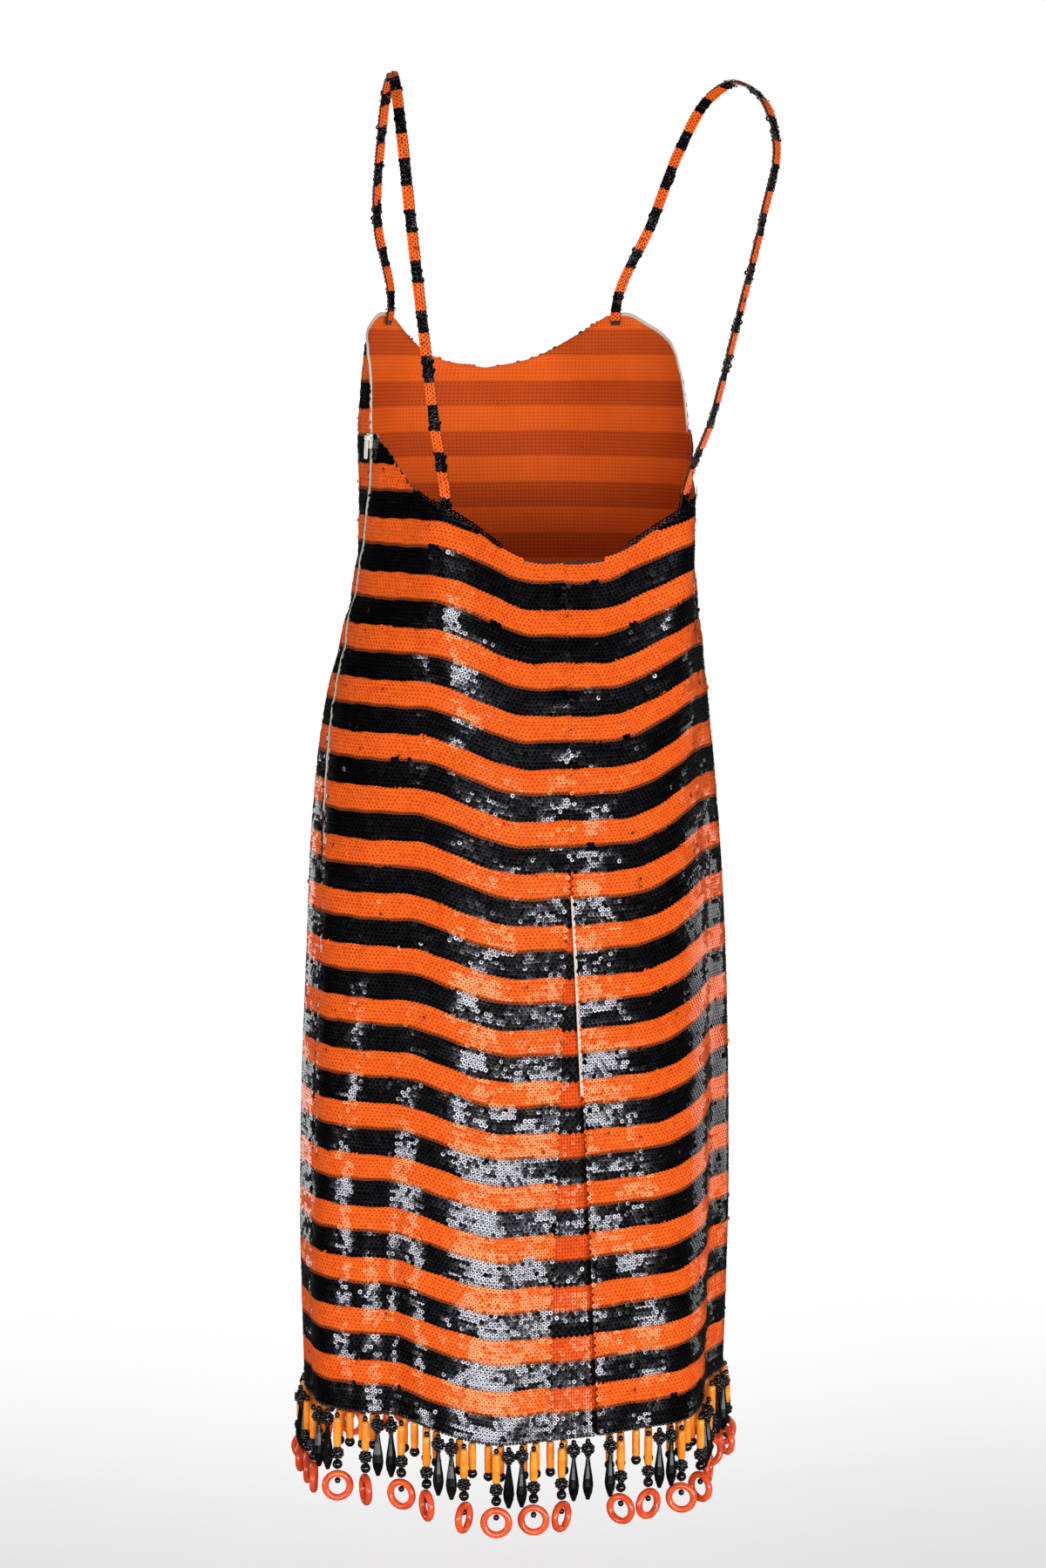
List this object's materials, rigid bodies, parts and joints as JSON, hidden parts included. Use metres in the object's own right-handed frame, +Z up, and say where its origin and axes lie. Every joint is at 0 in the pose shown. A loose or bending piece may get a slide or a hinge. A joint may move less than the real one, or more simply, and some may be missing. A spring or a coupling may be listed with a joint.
{
  "type": "flapper dress",
  "caption": "Sleeveless shift in striped sequinned cloth, with thin straps, a scooped back, a side zip, a back kick pleat and a hem fringe of beads, drops and rings.",
  "frame": {"origin": "midway between the tops of the two shoulder straps, where the wearer's shoulders carry the dress", "axes": "+Z up; the front of the dress faces -Y; the wearer's left side is +X"},
  "size_m": [0.403, 0.351, 1.2135],
  "materials": {
    "sequins": "ring sequins in even stripes of orange and black",
    "beads": "gloss; black beads and drops, amber tubes and vermilion rings",
    "tape": "woven cream zip tape",
    "zip": "cream enamel"
  },
  "bodies": {
    "dress": {"front": "sequins", "back_left": "sequins", "back_right": "sequins", "pleat_underlay": "sequins", "strap_left": "sequins", "strap_right": "sequins", "zip_tape": "tape", "zip_coil": "tape", "zip_slider": "zip", "fringe_front": "beads", "fringe_left": "beads", "fringe_right": "beads", "fringe_pleat": "beads"},
    "pull": {"zip_pull": "zip"}
  },
  "joints": [
    {"name": "pull_swing", "type": "hinge", "parent": "dress", "child": "pull", "pos_m": [0.14704, -0.07431, -0.29232], "axis": [0.1273, -0.9852, 0.1149], "range_deg": [0, 150]}
  ]
}
